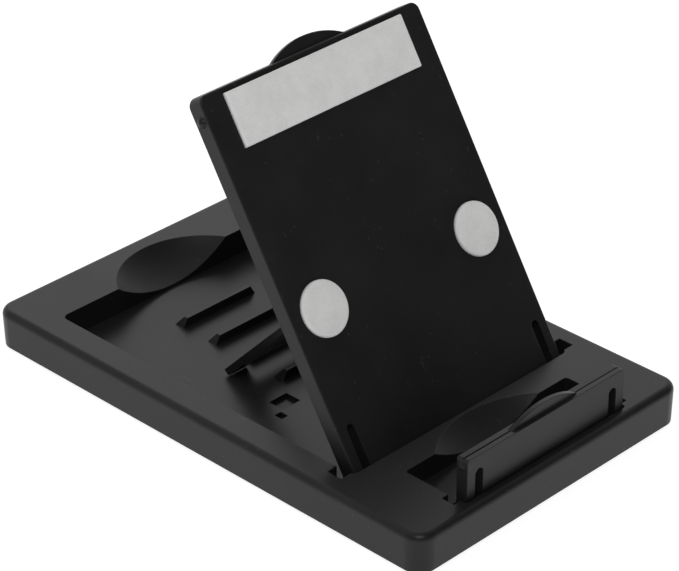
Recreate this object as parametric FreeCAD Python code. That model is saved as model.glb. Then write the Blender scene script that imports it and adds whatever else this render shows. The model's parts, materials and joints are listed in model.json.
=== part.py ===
"""Folding desk stand for an album or a display tablet.

Frame: millimetres, +X to the viewer's right, +Y away from the viewer, +Z up.
The origin is under the middle of the base, on the surface that the feet stand on.
The back panel and the front lip are modelled as they stand open, and the leg as it props the panel.
"""
import FreeCAD, Part
import math
import os

V = FreeCAD.Vector
X_AXIS = V(1, 0, 0)
Z_AXIS = V(0, 0, 1)

# Base moulding
FOOT_PROUD = 1.0            # how far the feet stand below the base
BASE_W = 98.0               # width of the underside
BASE_L = 156.2              # length of the underside
FLARE = 0.3                 # the sides lean out by this much towards the top
BASE_CORNER = 5.0           # plan radius of the underside's corners
TOP_Z = 12.0
TOP_EDGE_R = 1.9
WALL = 2.0
CELL_SKIN = 1.8             # floor thickness left over the cells of the underside

# Recess that the back panel folds into
BAY_HALF = 40.2
BAY_FRONT = -47.3
BAY_REAR = 61.1
BAY_FLOOR = 4.3
POCKET_FLOOR = 3.1          # bottom of the small reliefs in the bay's floor
WELL_FLOOR = 1.7            # bottom of the wells that the hinge barrels turn in
BAY_CORNER = 2.0
SCOOP_HALF = 20.0           # half chord of the rear finger scoop on the recess wall
SCOOP_REACH = 11.7          # how far it runs behind the wall
SCOOP_DEPTH = 6.9           # how deep it cuts the wall
RELIEF = (16.8, 23.0, -5.2, -0.2)       # limits of the reliefs in x and y
SMALL_RELIEF = (24.2, 26.4, -8.2, -5.6)
CLIP_HALF = 2.3             # half width of the slots that the panel's pins drop into

# Ratchet ribs on the recess floor
RIB_FRONTS = [4.5, 17.2, 30.0, 42.7]
RIB_HALF = 11.8
RIB_H = 2.6
RIB_TOP = 1.3
RIB_BACK = 2.0              # run of the sloping back
RIB_END = 1.5               # run of the sloping ends

# Back panel: it lies flat for modelling, then turns up by PANEL_ANGLE about its hinge
PANEL_HINGE_Y = -44.0
PANEL_HINGE_Z = 4.3
PANEL_ANGLE = 58.3
PANEL_HALF = 38.6
PANEL_T = 4.8
PANEL_BACK = 0.7            # height of the back face over the hinge axis when flat
PANEL_START = 3.6           # lower edge of the plate, measured from the hinge
PANEL_TOP = 104.5
PANEL_CORNER = 2.5
PANEL_SKIN = 1.8            # thickness of the front skin over the hollow back
PANEL_RIM = 1.8
PANEL_FRONT = PANEL_BACK + PANEL_T
HOLLOW_HALF = 27.0          # half width of the leg's bay in the hollow back
PANEL_RIB = 1.4
BUMP_S = 98.3               # distance of the side bumps from the hinge
BUMP_R = 1.6
TAB_T = 1.3
TAB_SET = 1.0               # the finger tabs start this far behind the front faces
TAB_HALF = 12.8
TAB_H = 3.4
PIN_R = 1.6
PIN_CLEAR = 0.08            # running clearance of the pins, on the radius
BARREL_R = 2.4
PIN_OUT = 43.9              # how far the panel's pins reach from the middle plane
ARM_IN = 35.6               # inner side of the spring arms that carry the pins
SLIT_W = 2.6
SLIT_TOP = 16.1

# Prop leg, hinged inside the panel's hollow back
LEG_PIVOT_S = 46.5          # distance from the panel hinge to the leg hinge
LEG_PIVOT_H = 2.35          # height of the leg hinge over the panel hinge when flat
LEG_T = 2.0
LEG_ANGLE = 45.8            # slope of the opened leg below the horizontal
LEG_LEN = 55.9
LEG_HALF = 21.5
WINDOW_HALF = 15.0
TOE_L = 4.6                 # length of the two toes at the leg's end
CROSSBAR_L = 10.0           # from the window to the leg's end
SOLE_GAP = 0.25             # the toes stop this far above the bay's floor
LEG_PIN_R = 1.0
BOSS_IN = 22.1
BOSS_OUT = 26.0
BOSS_R = 2.0

# Front lip
LIP_HINGE_Y = -71.7
LIP_HINGE_Z = 7.8
LIP_FACE = 3.3              # distance from the hinge axis to the front face
LIP_T = 3.5
LIP_HALF = 29.2
LIP_TOP = 15.7
LIP_BAY_HALF = 30.1
LIP_BAY_REAR = -55.4
LIP_BAY_FLOOR = 5.8
LIP_BAY_FRONT = -75.4
LIP_WELL_FLOOR = 4.2        # deeper floor under the lip's rounded heel
LIP_WELL_REAR = -68.0
LIP_PIN_R = 1.3
LIP_PIN_OUT = 32.8
LIP_SLIT_X = 24.9
LIP_SLIT_W = 2.8
LIP_SLIT_TOP = 11.8
LIP_BARREL_R = 1.9
LIP_BUMP_R = 1.2
LIP_TAB_HALF = 12.2
LIP_TAB_H = 3.2
LIP_CORNER = 0.8
LIP_SCOOP_HALF = 19.5
LIP_SCOOP_REACH = 7.2
LIP_SCOOP_DEPTH = 5.6

# Foam pads
PAD_T = 1.2
STRIP_HALF = 31.2
STRIP_LOW = 88.5
STRIP_HIGH = 102.9
ROUND_X = 27.8
ROUND_S = 44.5
ROUND_R = 7.3

# Rubber feet
FOOT_X = 38.0
FOOT_Y = 66.0
FOOT_R = 4.8
FOOT_T = 2.5


def box(x0, x1, y0, y1, z0, z1):
    return Part.makeBox(x1 - x0, y1 - y0, z1 - z0, V(x0, y0, z0))


def rod_x(x0, x1, y, z, radius):
    return Part.makeCylinder(radius, x1 - x0, V(x0, y, z), X_AXIS)


def both_sides(solid):
    """The solid and its mirror image across the middle plane."""
    return [solid, solid.mirror(V(0, 0, 0), X_AXIS)]


def rounded_wire(x0, x1, y0, y1, z, radius):
    """A rounded rectangle in a level plane."""
    d = radius * (1 - math.sqrt(0.5))
    edges = [
        Part.makeLine(V(x0 + radius, y0, z), V(x1 - radius, y0, z)),
        Part.Arc(V(x1 - radius, y0, z), V(x1 - d, y0 + d, z), V(x1, y0 + radius, z)).toShape(),
        Part.makeLine(V(x1, y0 + radius, z), V(x1, y1 - radius, z)),
        Part.Arc(V(x1, y1 - radius, z), V(x1 - d, y1 - d, z), V(x1 - radius, y1, z)).toShape(),
        Part.makeLine(V(x1 - radius, y1, z), V(x0 + radius, y1, z)),
        Part.Arc(V(x0 + radius, y1, z), V(x0 + d, y1 - d, z), V(x0, y1 - radius, z)).toShape(),
        Part.makeLine(V(x0, y1 - radius, z), V(x0, y0 + radius, z)),
        Part.Arc(V(x0, y0 + radius, z), V(x0 + d, y0 + d, z), V(x0 + radius, y0, z)).toShape(),
    ]
    return Part.Wire(edges)


def rounded_block(x0, x1, y0, y1, z0, z1, radius):
    return Part.Face(rounded_wire(x0, x1, y0, y1, z0, radius)).extrude(V(0, 0, z1 - z0))


def prism_x(points, x0, x1):
    """A side profile of (y, z) points, carried from x0 to x1."""
    corners = [V(x0, y, z) for y, z in points]
    return Part.Face(Part.makePolygon(corners + corners[:1])).extrude(V(x1 - x0, 0, 0))


def dish(wall_y, half_chord, reach, depth):
    """A ball that cuts a finger scoop behind a wall, to the depth given at the wall."""
    top_r = (half_chord ** 2 + reach ** 2) / (2 * reach)
    middle_y = wall_y + reach - top_r
    rise = (half_chord ** 2 - depth ** 2) / (2 * depth)
    ball_r = math.hypot(top_r, rise)
    ball = Part.makeSphere(ball_r, V(0, middle_y, TOP_Z + rise))
    return ball.common(box(-60, 60, wall_y - 0.5, wall_y + reach + 2, 0, TOP_Z + 2))


def segment_tab(half_chord, height, y, z0, z1):
    """A thin tab with an arched end, standing past the edge at y."""
    radius = (half_chord ** 2 + height ** 2) / (2 * height)
    disc = Part.makeCylinder(radius, z1 - z0, V(0, y + height - radius, z0), Z_AXIS)
    return disc.common(box(-half_chord, half_chord, y - 2, y + height + 1, z0, z1))


def soften(solid, level, radius):
    """Round every edge that lies in the level plane given."""
    edges = [e for e in solid.Edges if all(abs(v.Z - level) < 1e-6 for v in e.Vertexes)]
    return solid.makeFillet(radius, edges)


def base_body():
    low = rounded_wire(-BASE_W / 2, BASE_W / 2, -BASE_L / 2, BASE_L / 2, FOOT_PROUD, BASE_CORNER)
    half_w = BASE_W / 2 + FLARE
    half_l = BASE_L / 2 + FLARE
    high = rounded_wire(-half_w, half_w, -half_l, half_l, TOP_Z, BASE_CORNER + FLARE)
    body = Part.makeLoft([low, high], True, True)
    return soften(body, TOP_Z, TOP_EDGE_R)


def ratchet_rib(front):
    """A tooth with an upright front, a narrow flat top and a sloping back and ends."""
    low = FOOT_PROUD + WALL
    top = BAY_FLOOR + RIB_H
    back = front + RIB_TOP + RIB_BACK
    outer = RIB_HALF + RIB_END
    foot = Part.makePolygon([V(-outer, front, BAY_FLOOR), V(outer, front, BAY_FLOOR),
                             V(outer, back, BAY_FLOOR), V(-outer, back, BAY_FLOOR),
                             V(-outer, front, BAY_FLOOR)])
    crest = Part.makePolygon([V(-RIB_HALF, front, top), V(RIB_HALF, front, top),
                              V(RIB_HALF, front + RIB_TOP, top), V(-RIB_HALF, front + RIB_TOP, top),
                              V(-RIB_HALF, front, top)])
    tooth = Part.makeLoft([foot, crest], True, True)
    return tooth.fuse(box(-outer, outer, front, back, low, BAY_FLOOR))


def panel_bay():
    """Everything cut out of the base for the back panel and its leg."""
    bay = rounded_block(-BAY_HALF, BAY_HALF, BAY_FRONT, BAY_REAR, BAY_FLOOR, TOP_Z + 2, BAY_CORNER)
    cuts = [bay, dish(BAY_REAR, SCOOP_HALF, SCOOP_REACH, SCOOP_DEPTH)]
    y = PANEL_HINGE_Y
    z = PANEL_HINGE_Z
    socket = rod_x(BAY_HALF - 1, PIN_OUT + 0.3, y, z, PIN_R + PIN_CLEAR)
    lead_in = box(BAY_HALF - 1, PIN_OUT - 0.5, y - CLIP_HALF, y + CLIP_HALF, z + 2.1, TOP_Z + 2)
    well = box(ARM_IN - 0.6, BAY_HALF, BAY_FRONT, y + 3.8, WELL_FLOOR, z + 1)
    relief = box(*RELIEF, POCKET_FLOOR, z + 1)
    small_relief = box(*SMALL_RELIEF, POCKET_FLOOR, z + 1)
    for cut in (socket, lead_in, well, relief, small_relief):
        cuts += both_sides(cut)
    return cuts


def lip_bay():
    """Everything cut out of the base for the front lip."""
    y = LIP_HINGE_Y
    z = LIP_HINGE_Z
    half = LIP_BAY_HALF
    cuts = [
        rounded_block(-half, half, LIP_BAY_FRONT, LIP_BAY_REAR, LIP_BAY_FLOOR, TOP_Z + 2, LIP_CORNER),
        rounded_block(-half, half, LIP_BAY_FRONT, LIP_WELL_REAR, LIP_WELL_FLOOR, TOP_Z, LIP_CORNER),
        dish(LIP_BAY_REAR, LIP_SCOOP_HALF, LIP_SCOOP_REACH, LIP_SCOOP_DEPTH),
    ]
    socket = rod_x(half - 1, LIP_PIN_OUT + 0.3, y, z, LIP_PIN_R + PIN_CLEAR)
    lead_in = box(half - 1, LIP_PIN_OUT - 0.4, y - 2.0, y + 2.0, z + 1.8, TOP_Z + 2)
    for cut in (socket, lead_in):
        cuts += both_sides(cut)
    return cuts


def underside():
    """Hollows under the base, between walls and ribs of even thickness."""
    z0 = FOOT_PROUD - 1
    deep = TOP_Z - WALL
    side = BASE_W / 2 - WALL
    front = -36.0
    channel = box(BAY_HALF + WALL, side, front, 57, z0, deep)
    rear_pocket = box(22.5, 31.5, BAY_REAR + WALL, BASE_L / 2 - WALL, z0, deep)
    front_pocket = box(34.5, side, -58, -50, z0, deep)
    cuts = both_sides(channel) + both_sides(rear_pocket) + both_sides(front_pocket)
    columns = 5
    rows = 6
    cell_w = 13.2
    cell_l = 14.0
    first_x = -(columns * cell_w + (columns - 1) * WALL) / 2
    for column in range(columns):
        x = first_x + column * (cell_w + WALL)
        for row in range(rows):
            y = front + row * (cell_l + WALL)
            cuts.append(box(x, x + cell_w, y, y + cell_l, z0, BAY_FLOOR - CELL_SKIN))
    for x in (-FOOT_X, FOOT_X):
        for y in (-FOOT_Y, FOOT_Y):
            cuts.append(Part.makeCylinder(FOOT_R + 0.2, FOOT_T + 1, V(x, y, -1), Z_AXIS))
    return cuts


def base():
    body = base_body().cut(panel_bay() + lip_bay() + underside())
    ribs = [ratchet_rib(front) for front in RIB_FRONTS]
    return body.fuse(ribs)


def on_panel(solid):
    """Turn a piece that was modelled on the flat panel up to the open angle."""
    placed = solid.copy()
    placed.rotate(V(0, 0, 0), X_AXIS, PANEL_ANGLE)
    placed.translate(V(0, PANEL_HINGE_Y, PANEL_HINGE_Z))
    return placed


def panel_plate():
    """The flat plate with its rounded front edges."""
    half = PANEL_HALF
    sheet = rounded_block(-half, half, PANEL_START, PANEL_TOP, PANEL_BACK, PANEL_FRONT, PANEL_CORNER)
    square_end = box(-half, half, PANEL_START, 20, PANEL_BACK, PANEL_FRONT)
    return soften(sheet.fuse(square_end).removeSplitter(), PANEL_FRONT, 0.5)


def panel_hollows():
    """The open back: a bay for the leg, and cells between stiffening ribs."""
    z0 = PANEL_BACK - 1
    z1 = PANEL_FRONT - PANEL_SKIN
    rib = PANEL_RIB
    half = HOLLOW_HALF
    leg_bay = LEG_PIVOT_S - 4.5
    cuts = [box(-half, half, leg_bay, PANEL_TOP - PANEL_RIM, z0, z1)]
    side_cells = 6
    side_low = 21.0
    side_l = (PANEL_TOP - PANEL_RIM - side_low - (side_cells - 1) * rib) / side_cells
    for cell in range(side_cells):
        y = side_low + cell * (side_l + rib)
        cuts += both_sides(box(half + rib, PANEL_HALF - PANEL_RIM, y, y + side_l, z0, z1))
    low_cells = 4
    low_w = (2 * half - (low_cells - 1) * rib) / low_cells
    for cell in range(low_cells):
        x = -half + cell * (low_w + rib)
        cuts.append(box(x, x + low_w, PANEL_START + 2.5, leg_bay - rib, z0, z1))
    return cuts


def pin_arm():
    """The right-hand spring arm with its hinge barrel and pin."""
    side = [(-1.2, 2.0), (PANEL_START, 4.6), (8, 4.6), (8, PANEL_BACK), (3.3, PANEL_BACK), (1.8, -1.5)]
    neck = prism_x(side, ARM_IN, PANEL_HALF)
    barrel = rod_x(ARM_IN, PANEL_HALF, 0, 0, BARREL_R)
    pin = rod_x(PANEL_HALF - 1, PIN_OUT, 0, 0, PIN_R)
    end = [e for e in pin.Edges if e.Length > 1 and all(abs(v.X - PIN_OUT) < 1e-6 for v in e.Vertexes)]
    return neck.fuse([barrel, pin.makeChamfer(0.5, end)])


def leg_boss():
    """The right-hand bearing of the leg, standing on the panel's skin."""
    skin = PANEL_FRONT - PANEL_SKIN
    y = LEG_PIVOT_S
    z = LEG_PIVOT_H
    post = box(BOSS_IN, BOSS_OUT, y - BOSS_R, y + BOSS_R, z, skin + 0.5)
    boss = post.fuse(rod_x(BOSS_IN, BOSS_OUT, y, z, BOSS_R))
    return boss.cut(rod_x(BOSS_IN - 1, BOSS_OUT - 0.8, y, z, LEG_PIN_R + PIN_CLEAR))


def slit(x, width, low, top, z0, z1):
    """A slot with a round upper end."""
    straight = box(x - width / 2, x + width / 2, low, top - width / 2, z0, z1)
    end = Part.makeCylinder(width / 2, z1 - z0, V(x, top - width / 2, z0), Z_AXIS)
    return straight.fuse(end)


def back_panel():
    slit_x = ARM_IN - SLIT_W / 2
    cuts = panel_hollows() + both_sides(slit(slit_x, SLIT_W, 0, SLIT_TOP, -5, PANEL_FRONT + 1))
    plate = panel_plate().cut(cuts)
    tab_front = PANEL_FRONT - TAB_SET
    tab = segment_tab(TAB_HALF, TAB_H, PANEL_TOP, tab_front - TAB_T, tab_front)
    bump = Part.makeSphere(BUMP_R, V(PANEL_HALF - 0.6, BUMP_S, PANEL_BACK + PANEL_T / 2))
    extras = [tab]
    for piece in (pin_arm(), leg_boss(), bump):
        extras += both_sides(piece)
    return on_panel(plate.fuse(extras))


def strip_pad():
    face = PANEL_FRONT + PAD_T
    return on_panel(rounded_block(-STRIP_HALF, STRIP_HALF, STRIP_LOW, STRIP_HIGH, PANEL_FRONT, face, 0.4))


def round_pad(x):
    return on_panel(Part.makeCylinder(ROUND_R, PAD_T, V(x, ROUND_S, PANEL_FRONT), Z_AXIS))


def prop_leg():
    """A windowed frame, open at its hinge end, with two toes that straddle a ratchet rib."""
    half_t = LEG_T / 2
    wide = WINDOW_HALF
    over = half_t + 1
    plate = box(-LEG_HALF, LEG_HALF, 0, LEG_LEN, -half_t, half_t)
    hinge = rod_x(-LEG_HALF, LEG_HALF, 0, 0, half_t)
    window = rounded_block(-wide, wide, -9, LEG_LEN - CROSSBAR_L, -over, over, 3.0)
    arch = rounded_block(-wide, wide, LEG_LEN - TOE_L, LEG_LEN + 8, -over, over, 1.5)
    pin = rod_x(LEG_HALF - 1, BOSS_OUT - 1.1, 0, 0, LEG_PIN_R)
    leg = plate.fuse([hinge] + both_sides(pin)).cut([window, arch])
    leg.rotate(V(0, 0, 0), X_AXIS, -LEG_ANGLE)
    up = math.radians(PANEL_ANGLE)
    pivot_y = PANEL_HINGE_Y + LEG_PIVOT_S * math.cos(up) - LEG_PIVOT_H * math.sin(up)
    pivot_z = PANEL_HINGE_Z + LEG_PIVOT_S * math.sin(up) + LEG_PIVOT_H * math.cos(up)
    leg.translate(V(0, pivot_y, pivot_z))
    return leg.common(box(-60, 60, -60, 60, BAY_FLOOR + SOLE_GAP, 100))


def front_lip():
    """Modelled flat with its front face up, then stood upright about its hinge."""
    back = LIP_FACE - LIP_T
    r = LIP_FACE
    d = r * math.sqrt(0.5)
    x0 = -LIP_HALF
    corners = [V(x0, LIP_TOP, r), V(x0, 0, r), V(x0, -r, 0), V(x0, -2.5, back), V(x0, LIP_TOP, back)]
    heel = Part.Arc(corners[1], V(x0, -d, d), corners[2]).toShape()
    lines = [Part.makeLine(corners[i], corners[(i + 1) % 5]) for i in (0, 2, 3, 4)]
    profile = Part.Wire([lines[0], heel] + lines[1:])
    body = Part.Face(profile).extrude(V(2 * LIP_HALF, 0, 0))
    ends = rounded_block(-LIP_HALF, LIP_HALF, -10, LIP_TOP, back - 1, r + 1, LIP_CORNER)
    groove = box(-LIP_HALF - 1, LIP_HALF + 1, LIP_TOP - 0.3, LIP_TOP + 1, r - 1.8, r - 1.5)
    body = body.common(ends).cut(groove)
    tab = segment_tab(LIP_TAB_HALF, LIP_TAB_H, LIP_TOP, r - TAB_SET - TAB_T, r - TAB_SET)
    pin = rod_x(LIP_HALF - 1, LIP_PIN_OUT, 0, 0, LIP_PIN_R)
    barrel = rod_x(LIP_SLIT_X + LIP_SLIT_W / 2, LIP_HALF, 0, 0, LIP_BARREL_R)
    bump = Part.makeSphere(LIP_BUMP_R, V(LIP_HALF - 0.65, LIP_TOP - 2.2, 1.4))
    body = body.cut(both_sides(slit(LIP_SLIT_X, LIP_SLIT_W, -r - 1, LIP_SLIT_TOP, back - 1, r + 1)))
    lip = body.fuse([tab] + both_sides(pin) + both_sides(bump) + both_sides(barrel))
    lip.rotate(V(0, 0, 0), X_AXIS, 90)
    lip.translate(V(0, LIP_HINGE_Y, LIP_HINGE_Z))
    return lip


def foot(x, y):
    pad = Part.makeCylinder(FOOT_R, FOOT_T, V(x, y, 0), Z_AXIS)
    return soften(pad, 0, 0.3)


def build():
    return {
        "base": base(),
        "back_panel": back_panel(),
        "prop_leg": prop_leg(),
        "front_lip": front_lip(),
        "strip_pad": strip_pad(),
        "round_pad_left": round_pad(-ROUND_X),
        "round_pad_right": round_pad(ROUND_X),
        "foot_front_left": foot(-FOOT_X, -FOOT_Y),
        "foot_front_right": foot(FOOT_X, -FOOT_Y),
        "foot_rear_left": foot(-FOOT_X, FOOT_Y),
        "foot_rear_right": foot(FOOT_X, FOOT_Y),
    }


os.makedirs("parts", exist_ok=True)
for name, shape in build().items():
    whole = shape.removeSplitter()
    print(name, "solids", len(whole.Solids), "valid", whole.isValid(), "volume", round(whole.Volume, 1))
    whole.exportStep("parts/" + name + ".step")
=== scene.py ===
"""A folding photo album stand: moulded plastic, foam pads and rubber feet in a pale studio."""
import json
import math

import bmesh
import bpy
from mathutils import Matrix, Vector


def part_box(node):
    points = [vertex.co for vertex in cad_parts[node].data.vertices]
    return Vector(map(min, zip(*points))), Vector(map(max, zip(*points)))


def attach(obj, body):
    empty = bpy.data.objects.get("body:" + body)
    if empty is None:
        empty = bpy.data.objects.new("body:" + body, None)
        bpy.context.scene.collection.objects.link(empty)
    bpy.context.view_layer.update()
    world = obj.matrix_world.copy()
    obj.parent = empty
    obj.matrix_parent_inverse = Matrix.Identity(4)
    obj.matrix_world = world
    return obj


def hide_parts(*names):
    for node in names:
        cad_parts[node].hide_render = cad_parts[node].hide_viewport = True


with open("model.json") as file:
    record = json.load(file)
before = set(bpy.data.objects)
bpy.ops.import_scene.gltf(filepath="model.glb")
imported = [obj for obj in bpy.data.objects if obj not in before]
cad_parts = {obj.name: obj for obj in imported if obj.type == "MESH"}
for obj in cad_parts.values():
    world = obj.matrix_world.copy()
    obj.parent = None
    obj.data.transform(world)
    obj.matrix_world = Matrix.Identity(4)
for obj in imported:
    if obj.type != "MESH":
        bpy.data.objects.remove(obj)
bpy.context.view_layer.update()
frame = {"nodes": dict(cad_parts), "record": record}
MM = 0.001


# Shader arithmetic


class Value:
    """A number that a shader node puts out, usable in Python expressions."""

    def __init__(self, shader, socket):
        self.shader = shader
        self.socket = socket

    def math(self, operation, *others):
        return self.shader.node("ShaderNodeMath", {"operation": operation}, [self, *others])

    def __add__(self, other):
        return self.math("ADD", other)

    def __mul__(self, other):
        return self.math("MULTIPLY", other)

    def __sub__(self, other):
        return self.math("SUBTRACT", other)

    def __rsub__(self, other):
        return self.shader.node("ShaderNodeMath", {"operation": "SUBTRACT"}, [other, self])

    __radd__ = __add__
    __rmul__ = __mul__

    def between(self, low, high):
        """0 below low, 1 above high, and a smooth step from one to the other."""
        inputs = {"Value": self, "From Min": low, "From Max": high}
        return self.shader.node("ShaderNodeMapRange", {"interpolation_type": "SMOOTHSTEP"}, inputs)


class Shader:
    """A material whose nodes are written as calls and expressions."""

    def __init__(self, name):
        self.material = bpy.data.materials.new(name)
        self.material.use_nodes = True
        self.tree = self.material.node_tree
        self.surface = next(n for n in self.tree.nodes if n.type == "BSDF_PRINCIPLED")
        self.place = self.node("ShaderNodeTexCoord", {}, {}, "Object")

    def put(self, socket, value):
        if isinstance(value, Value):
            self.tree.links.new(value.socket, socket)
        else:
            socket.default_value = value

    def node(self, kind, settings, inputs, output=0):
        made = self.tree.nodes.new(kind)
        for key, value in settings.items():
            setattr(made, key, value)
        for key, value in inputs.items() if isinstance(inputs, dict) else enumerate(inputs):
            self.put(made.inputs[key], value)
        return Value(self, made.outputs[output])

    def noise(self, scale, detail=2.0, roughness=0.5, place=None):
        """Noise with scale in lumps a metre."""
        inputs = {"Vector": place or self.place, "Scale": scale, "Detail": detail, "Roughness": roughness}
        return self.node("ShaderNodeTexNoise", {}, inputs)

    def cells(self, scale):
        """Distance from the nearest of many scattered points, with scale in points a metre."""
        return self.node("ShaderNodeTexVoronoi", {}, {"Vector": self.place, "Scale": scale})

    def stretched(self, turn, stretch):
        """The object's own place, turned and squeezed so that spots become streaks."""
        inputs = {"Vector": self.place, "Rotation": turn, "Scale": stretch}
        return self.node("ShaderNodeMapping", {}, inputs)

    def tint(self, factor, low, high):
        """The colour low where the factor is 0, and high where it is 1."""
        mix = self.tree.nodes.new("ShaderNodeMix")
        mix.data_type = "RGBA"
        colours = [s for s in mix.inputs if s.type == "RGBA"]
        self.put(mix.inputs[0], factor)
        self.put(colours[0], low)
        self.put(colours[1], high)
        return Value(self, next(s for s in mix.outputs if s.type == "RGBA"))

    def bump(self, height, distance, strength, normal=None):
        inputs = {"Height": height, "Distance": distance, "Strength": strength}
        if normal is not None:
            inputs["Normal"] = normal
        return self.node("ShaderNodeBump", {}, inputs)

    def finish(self, **inputs):
        for key, value in inputs.items():
            self.put(self.surface.inputs[key.replace("_", " ")], value)
        return self.material


def grey(level, warmth=0.0):
    """A linear grey, with its red raised and its blue lowered by the warmth."""
    return (level * (1 + warmth), level, level * (1 - warmth), 1.0)


def moulded_plastic(name, dark, light, sheen, grain, edge):
    """Black plastic with a spark-eroded grain, soft edges, flow marks and light handling scuffs."""
    s = Shader(name)
    flow = s.noise(38.0, 3.0, 0.55)
    cloud = s.noise(170.0, 2.0, 0.6)
    fine = s.noise(2600.0, 2.0, 0.6)
    streak = s.noise(420.0, 4.0, 0.7, s.stretched((0.2, 0.1, 0.7), (1.0, 0.06, 0.4)))
    scuff = streak.between(0.63, 0.74) * cloud.between(0.5, 0.62)
    specks = 1 - s.cells(260.0).between(0.045, 0.09)
    worn = scuff * 0.5 + specks * 0.35
    tone = flow.between(0.3, 0.7) * 0.6 + cloud * 0.4
    colour = s.tint(worn, s.tint(tone, grey(dark), grey(light)), grey(light * 5.0))
    roughness = sheen + (fine - 0.5) * 0.10 + (flow - 0.5) * 0.12 + worn * 0.12
    round_edge = s.node("ShaderNodeBevel", {"samples": 6}, {"Radius": edge})
    relief = fine + cloud * 0.6 + scuff * -0.8
    normal = s.bump(relief, grain, 0.7, round_edge)
    return s.finish(Base_Color=colour, Roughness=roughness, Normal=normal, IOR=1.31)


def soft_foam(name):
    """White closed-cell foam with fine pores, faint clouding and painted shade darkening the pore pits."""
    s = Shader(name)
    pore_pits_and_shade = s.cells(1500.0).between(0.1, 0.5)
    cloud = s.noise(140.0, 3.0, 0.6)
    fibre = s.noise(3200.0, 3.0, 0.65)
    pressed = s.noise(420.0, 2.0, 0.5)
    # The pore term darkens the colour in the pore pits, which is painted shade in the pores; it also sinks
    # those pits in the bump.
    tone = cloud.between(0.3, 0.7) * 0.5 + pore_pits_and_shade * 0.3 + pressed * 0.2
    colour = s.tint(tone, grey(0.76, 0.008), grey(0.88, 0.004))
    roughness = 0.82 + (fibre - 0.5) * 0.12 + (pressed - 0.5) * 0.08
    normal = s.bump(pore_pits_and_shade + fibre * 0.6 + pressed * 0.8, 0.00006, 0.8)
    return s.finish(Base_Color=colour, Roughness=roughness, Normal=normal, Sheen_Weight=0.15)


def foot_rubber(name):
    """Dark grey rubber with a dusty bloom and a fine matt grain."""
    s = Shader(name)
    bloom = s.noise(260.0, 3.0, 0.6).between(0.35, 0.7)
    fine = s.noise(2200.0, 2.0, 0.5)
    colour = s.tint(bloom, grey(0.03), grey(0.065, 0.02))
    roughness = 0.72 + bloom * 0.14 + (fine - 0.5) * 0.08
    normal = s.bump(fine, 0.00003, 0.8)
    return s.finish(Base_Color=colour, Roughness=roughness, Normal=normal)


BLACK = moulded_plastic("black plastic", 0.01, 0.017, 0.36, 0.000016, 0.0003)
FOAM = soft_foam("white foam")
RUBBER = foot_rubber("grey rubber")


def paint(node, material):
    obj = frame["nodes"][node]
    if obj.data.materials:
        for index in range(len(obj.data.materials)):
            obj.material_slots[index].link = "OBJECT"
            obj.material_slots[index].material = material
    else:
        obj.data.materials.append(material)


for node in ("base", "back_panel", "prop_leg", "front_lip"):
    paint(node, BLACK)


# Foam pads


def new_piece(name, mesh, material, body):
    mesh.materials.clear()
    mesh.materials.append(material)
    mesh.shade_smooth()
    obj = bpy.data.objects.new(name, mesh)
    bpy.context.collection.objects.link(obj)
    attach(obj, body)
    return obj


CORNER_STEPS = 12               # points round each corner of a pad
CUT_STEP = 0.6 * MM             # largest spacing of points along a pad's edge
CUT_ROUND = 0.55 * MM           # how far in the cut edge is rounded
CUT_RINGS = 8
TOP_RINGS = 11
SIDE_FOOT = 0.35                # height of the straight side, as a part of the thickness
EDGE_LEVEL = 0.86               # height just inside the cut edge, as a part of the thickness
EDGE_RISE = 0.07                # rise from there
EDGE_RUN = 2.4 * MM             # how far in that rise ends
CROWN = 0.063                   # rise from the edge to the middle
DIMPLE = 0.012                  # depth of the slight hollows


def rounded_outline(half_x, half_y, corner):
    """Points round a rectangle with round corners, anticlockwise."""
    corner = min(corner, half_x, half_y)
    points = []
    for quarter in range(4):
        sx = 1 if quarter in (0, 3) else -1
        sy = 1 if quarter in (0, 1) else -1
        for step in range(CORNER_STEPS + 1):
            a = math.pi / 2 * (quarter + step / CORNER_STEPS)
            points.append(Vector((sx * (half_x - corner) + corner * math.cos(a),
                                  sy * (half_y - corner) + corner * math.sin(a))))
    ring = []
    for here, there in zip(points, points[1:] + points[:1]):
        parts = max(1, round((there - here).length / CUT_STEP))
        ring += [here.lerp(there, k / parts) for k in range(parts)]
    return ring


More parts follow.
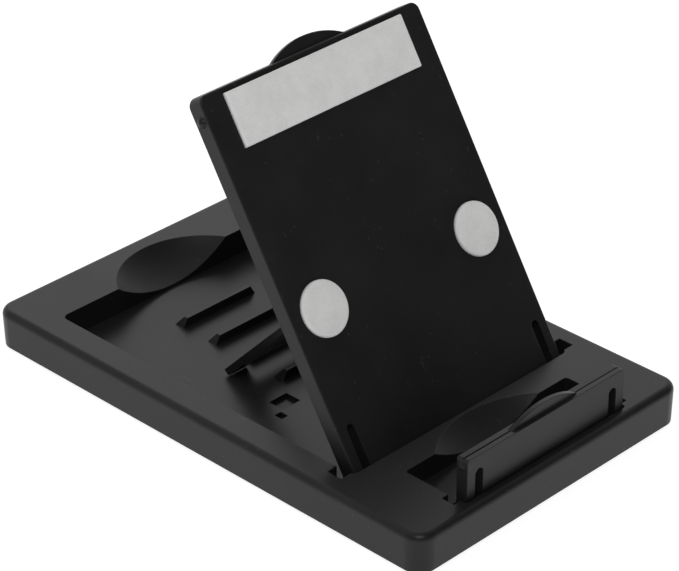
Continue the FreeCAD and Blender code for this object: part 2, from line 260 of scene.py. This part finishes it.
def foam_form(half_x, half_y, corner, thickness):
    """A die-cut pad: rounded cut edge, low crown and slight hollows, lying flat on z = 0."""
    mesh = bmesh.new()
    outer = rounded_outline(half_x, half_y, corner)
    reach = min(half_x, half_y)
    edge = CUT_ROUND
    foot = SIDE_FOOT * thickness
    insets = [edge * (1 - math.cos(math.pi / 2 * k / (CUT_RINGS - 1))) for k in range(CUT_RINGS)]
    insets += [edge + (reach - edge) * (k / TOP_RINGS) for k in range(1, TOP_RINGS + 1)]
    rings = []
    for index, inset in enumerate(insets):
        ring = []
        for point in outer:
            shrink_x = max(0.0, 1 - inset / half_x)
            shrink_y = max(0.0, 1 - inset / half_y)
            x = point.x * shrink_x
            y = point.y * shrink_y
            rise = math.sqrt(max(0.0, 1 - (1 - min(inset / edge, 1)) ** 2))
            level = EDGE_LEVEL + EDGE_RISE * min(1.0, inset / EDGE_RUN) + CROWN * min(1, inset / reach)
            dip = DIMPLE * math.sin(x / (3.1 * MM) + 1.3) * math.cos(y / (2.3 * MM))
            z = foot + (thickness * (level + dip) - foot) * rise
            ring.append(mesh.verts.new((x, y, z if index else foot)))
        rings.append(ring)
    bottom = [mesh.verts.new((v.co.x, v.co.y, 0.0)) for v in rings[0]]
    count = len(outer)
    for below, above in [(bottom, rings[0]), *zip(rings, rings[1:])]:
        for k in range(count):
            j = (k + 1) % count
            mesh.faces.new((below[k], below[j], above[j], above[k]))
    mesh.faces.new(list(reversed(bottom)))
    bmesh.ops.remove_doubles(mesh, verts=mesh.verts, dist=0.00001)
    bmesh.ops.recalc_face_normals(mesh, faces=mesh.faces)
    made = bpy.data.meshes.new("foam")
    mesh.to_mesh(made)
    mesh.free()
    return made


PANEL_LEAN = math.radians(58.3)
JOINTS = {joint["name"]: joint for joint in frame["record"]["behaviour"]["joints"]}
HINGE = Vector(JOINTS["panel_hinge"]["pos_m"])
ON_PANEL = Matrix.Translation(HINGE) @ Matrix.Rotation(PANEL_LEAN, 4, "X")


def on_flat_panel(node):
    """A node's box in the folded panel's own frame, from its corner points."""
    mesh = frame["nodes"][node].data
    back = ON_PANEL.inverted()
    points = [back @ v.co for v in mesh.vertices]
    low = Vector([min(p[i] for p in points) for i in range(3)])
    high = Vector([max(p[i] for p in points) for i in range(3)])
    return low, high


for name, corner in (("strip_pad", 0.25 * MM), ("round_pad_left", 1.0), ("round_pad_right", 1.0)):
    low, high = on_flat_panel(name)
    middle = (low + high) / 2
    mesh = foam_form((high.x - low.x) / 2, (high.y - low.y) / 2, corner, high.z - low.z)
    mesh.transform(ON_PANEL @ Matrix.Translation((middle.x, middle.y, low.z)))
    pad = new_piece("foam_" + name, mesh, FOAM, "panel")
    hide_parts(name)


# Rubber feet, turned by rule and set at the four corners


class Growth:
    """A Geometry Nodes tree written as calls."""

    def __init__(self, name, **sizes):
        self.tree = bpy.data.node_groups.new(name, "GeometryNodeTree")
        for key in sizes:
            self.tree.interface.new_socket(key, in_out="INPUT", socket_type="NodeSocketFloat")
        self.tree.interface.new_socket("Geometry", in_out="OUTPUT", socket_type="NodeSocketGeometry")
        self.sizes = sizes
        self.given = self.tree.nodes.new("NodeGroupInput")

    def node(self, kind, settings, inputs):
        made = self.tree.nodes.new(kind)
        for key, value in settings.items():
            setattr(made, key, value)
        for key, value in inputs.items():
            if isinstance(value, bpy.types.NodeSocket):
                self.tree.links.new(value, made.inputs[key])
            else:
                made.inputs[key].default_value = value
        return made

    def size(self, key):
        return self.given.outputs[key]

    def sums(self, operation, *values):
        return self.node("ShaderNodeMath", {"operation": operation}, dict(enumerate(values))).outputs[0]

    def grow(self, geometry, material):
        """The plain mesh that the tree makes with its sizes."""
        real = self.node("GeometryNodeRealizeInstances", {}, {"Geometry": geometry}).outputs[0]
        dressed = self.node("GeometryNodeSetMaterial", {}, {"Geometry": real, "Material": material})
        end = self.tree.nodes.new("NodeGroupOutput")
        self.tree.links.new(dressed.outputs[0], end.inputs[0])
        holder = bpy.data.objects.new("holder", bpy.data.meshes.new("holder"))
        bpy.context.collection.objects.link(holder)
        modifier = holder.modifiers.new("grow", "NODES")
        modifier.node_group = self.tree
        for item in self.tree.interface.items_tree:
            if item.item_type == "SOCKET" and item.in_out == "INPUT":
                modifier[item.identifier] = self.sizes[item.name]
        holder.update_tag()
        seen = holder.evaluated_get(bpy.context.evaluated_depsgraph_get())
        mesh = bpy.data.meshes.new_from_object(seen)
        holder.modifiers.remove(modifier)
        bpy.data.objects.remove(holder)
        return mesh


def turned_feet(radius, height, span_x, span_y):
    """Four turned feet: domed sole with rings, hollow top, each a lathe of one profile."""
    g = Growth("turned feet", Radius=radius, Height=height, Span_X=span_x, Span_Y=span_y)
    around, along = 73, 41
    sheet = g.node("GeometryNodeMeshGrid", {}, {0: 1.0, 1: 1.0, 2: around, 3: along})
    here = g.node("GeometryNodeInputPosition", {}, {}).outputs[0]
    spot = g.node("ShaderNodeSeparateXYZ", {}, {0: here})
    turn = g.sums("MULTIPLY", g.sums("ADD", spot.outputs[0], 0.5), 2 * math.pi)
    run = g.sums("ADD", spot.outputs[1], 0.5)

    def profile(points):
        """A value that follows straight lines between the points along the sheet."""
        curve = g.node("ShaderNodeFloatCurve", {}, {"Value": run})
        line = curve.mapping.curves[0]
        while len(line.points) < len(points):
            line.points.new(0.5, 0.5)
        for point, (x, y) in zip(line.points, points):
            point.location = (x, y)
            point.handle_type = "VECTOR"
        curve.mapping.update()
        return curve.outputs[0]

    steps = [0, 0.1, 0.2, 0.3, 0.4, 0.5, 0.6, 0.7, 0.78, 0.9, 1.0]
    out = profile(list(zip(steps, [0, 0.34, 0.38, 0.52, 0.6, 0.74, 0.88, 0.97, 1.0, 1.0, 0.0])))
    up = profile(list(zip(steps, [0.12, 0.12, 0.0, 0.0, 0.12, 0.12, 0.0, 0.04, 0.22, 1.0, 1.0])))
    reach = g.sums("MULTIPLY", out, g.size("Radius"))
    place = g.node("ShaderNodeCombineXYZ", {}, {
        0: g.sums("MULTIPLY", reach, g.sums("COSINE", turn)),
        1: g.sums("MULTIPLY", reach, g.sums("SINE", turn)),
        2: g.sums("MULTIPLY", up, g.size("Height")),
    })
    moved = {"Geometry": sheet.outputs[0], "Position": place.outputs[0]}
    lathe = g.node("GeometryNodeSetPosition", {}, moved).outputs[0]
    seam = 0.005 * MM
    foot = g.node("GeometryNodeMergeByDistance", {}, {"Geometry": lathe, "Distance": seam}).outputs[0]
    grid = {0: g.size("Span_X"), 1: g.size("Span_Y"), 2: 2, 3: 2}
    corners = g.node("GeometryNodeMeshGrid", {}, grid).outputs[0]
    feet = g.node("GeometryNodeInstanceOnPoints", {}, {"Points": corners, "Instance": foot})
    return g.grow(feet.outputs[0], RUBBER)


feet_nodes = ["foot_front_left", "foot_front_right", "foot_rear_left", "foot_rear_right"]
low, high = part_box("foot_rear_right")
centre = (Vector(low) + Vector(high)) / 2
feet_mesh = turned_feet((high[0] - low[0]) / 2, high[2] - low[2], 2 * centre.x, 2 * centre.y)
fixed = bmesh.new()
fixed.from_mesh(feet_mesh)
bmesh.ops.recalc_face_normals(fixed, faces=fixed.faces)
fixed.to_mesh(feet_mesh)
fixed.free()
feet = new_piece("rubber_feet", feet_mesh, RUBBER, "stand_base")
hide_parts(*feet_nodes)


# Studio


def area_light(name, place, aim, size_x, size_y, power):
    data = bpy.data.lights.new(name, "AREA")
    data.shape = "RECTANGLE"
    data.size = size_x
    data.size_y = size_y
    data.energy = power
    obj = bpy.data.objects.new(name, data)
    bpy.context.collection.objects.link(obj)
    obj.location = place
    obj.rotation_euler = (Vector(aim) - Vector(place)).to_track_quat("-Z", "Y").to_euler()


def pale_floor(level, glow):
    """A plain floor that glows faintly, so that it stays pale and even."""
    half = 20.0
    corners = [(-half, -half, 0), (half, -half, 0), (half, half, 0), (-half, half, 0)]
    mesh = bpy.data.meshes.new("floor")
    mesh.from_pydata(corners, [], [(0, 1, 2, 3)])
    material = bpy.data.materials.new("floor")
    material.use_nodes = True
    surface = next(n for n in material.node_tree.nodes if n.type == "BSDF_PRINCIPLED")
    surface.inputs["Base Color"].default_value = grey(level)
    surface.inputs["Roughness"].default_value = 0.9
    surface.inputs["Emission Color"].default_value = grey(1.0)
    surface.inputs["Emission Strength"].default_value = glow
    mesh.materials.append(material)
    obj = bpy.data.objects.new("floor", mesh)
    bpy.context.collection.objects.link(obj)


def sky(dark, light):
    """A soft dome that is dim in front of the stand and bright behind it."""
    world = bpy.data.worlds.new("studio")
    bpy.context.scene.world = world
    world.use_nodes = True
    nodes, links = world.node_tree.nodes, world.node_tree.links
    background = next(n for n in nodes if n.type == "BACKGROUND")
    background.inputs["Color"].default_value = grey(1.0)
    where = nodes.new("ShaderNodeTexCoord")
    facing = nodes.new("ShaderNodeVectorMath")
    facing.operation = "DOT_PRODUCT"
    facing.inputs[1].default_value = Vector((0.25, 0.95, 0.15)).normalized()
    spread = nodes.new("ShaderNodeMapRange")
    spread.interpolation_type = "SMOOTHSTEP"
    spread.inputs["From Min"].default_value = -0.35
    spread.inputs["From Max"].default_value = 0.75
    spread.inputs["To Min"].default_value = dark
    spread.inputs["To Max"].default_value = light
    links.new(where.outputs["Generated"], facing.inputs[0])
    links.new(facing.outputs["Value"], spread.inputs["Value"])
    links.new(spread.outputs["Result"], background.inputs["Strength"])


def studio_camera():
    """Stands off the front left corner, looking down on the stand."""
    target = Vector((39.36, 29.82, 0.5)) * MM
    distance = 837.6 * MM
    azimuth, elevation, roll = (math.radians(a) for a in (-135.63, 30.47, -0.24))
    away = Vector((math.cos(elevation) * math.cos(azimuth), math.cos(elevation) * math.sin(azimuth),
                   math.sin(elevation)))
    right = (-away).cross(Vector((0, 0, 1))).normalized()
    up = right.cross(-away)
    right, up = (right * math.cos(roll) + up * math.sin(roll), up * math.cos(roll) - right * math.sin(roll))
    data = bpy.data.cameras.new("camera")
    data.sensor_width = 36.0
    data.lens = 159.4
    data.shift_x = -0.0218
    data.shift_y = 0.0011
    data.clip_start = 0.01
    data.clip_end = 100.0
    obj = bpy.data.objects.new("camera", data)
    bpy.context.collection.objects.link(obj)
    turn = Matrix((right, up, away)).transposed().to_4x4()
    obj.matrix_world = Matrix.Translation(target + away * distance) @ turn
    bpy.context.scene.camera = obj


pale_floor(0.3, 0.88)
sky(0.08, 0.79)
area_light("key", (0.95, 1.15, 1.05), (0, 0, 0.03), 1.1, 0.9, 2.6)
area_light("overhead", (-0.1, 0.1, 1.6), (0, 0, 0), 1.2, 1.2, 0.5)
area_light("fill", (-0.8, -0.8, 1.4), (0, 0, 0.05), 0.9, 0.9, 10)
studio_camera()
bpy.context.scene.view_settings.view_transform = "Standard"
